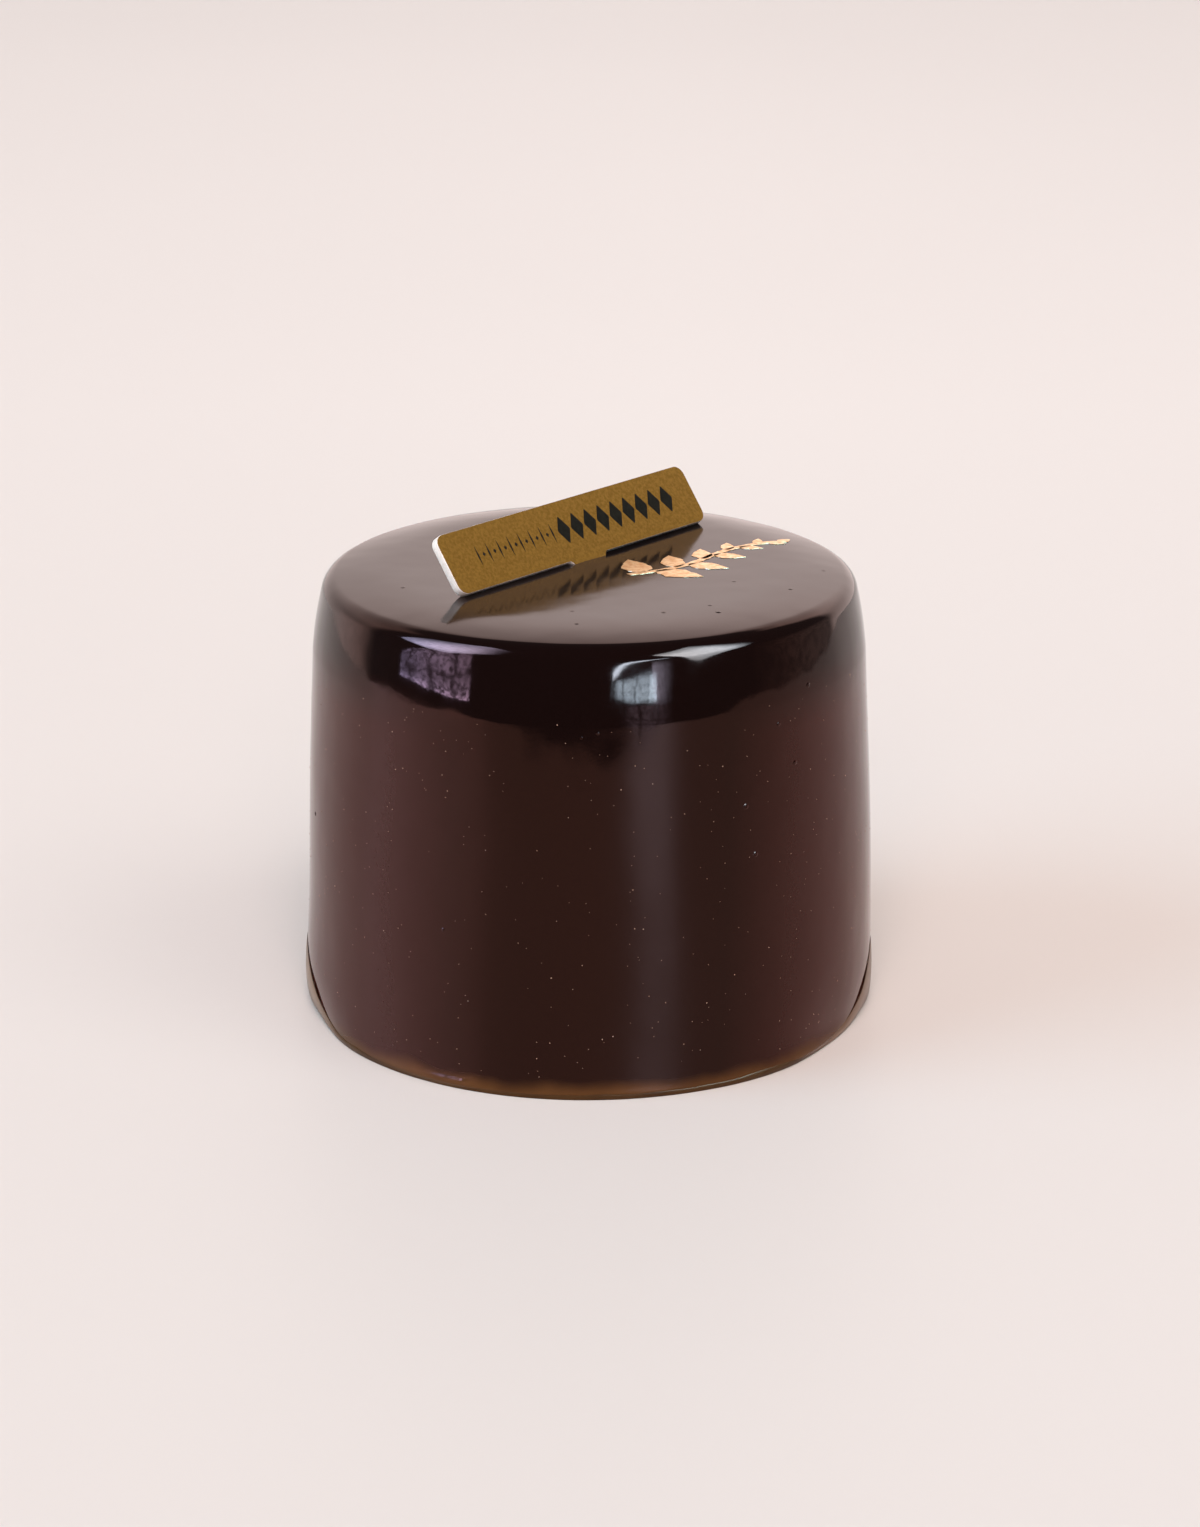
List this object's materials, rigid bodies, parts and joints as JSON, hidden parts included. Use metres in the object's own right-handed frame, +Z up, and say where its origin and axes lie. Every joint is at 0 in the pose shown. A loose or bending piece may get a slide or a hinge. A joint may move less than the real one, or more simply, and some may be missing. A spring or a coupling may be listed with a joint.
{
  "type": "opera cake",
  "caption": "Small round cake under a mirror-smooth dark chocolate glaze, flat on top with a soft lip and amber foot, with a leaning gold-faced plaque pushed into its crown.",
  "frame": {"origin": "middle of the flat base that the cake stands on", "axes": "+Z up through the crown, -Y to the front, from which the gold face of the plaque is seen, +X to the right"},
  "size_m": [0.0801, 0.0798, 0.0704],
  "materials": {
    "glaze": "mirror-smooth dark chocolate glaze",
    "gold_face": "satin gold print on white card"
  },
  "bodies": {
    "root": {"cake": "glaze", "tag": "gold_face"}
  },
  "joints": []
}
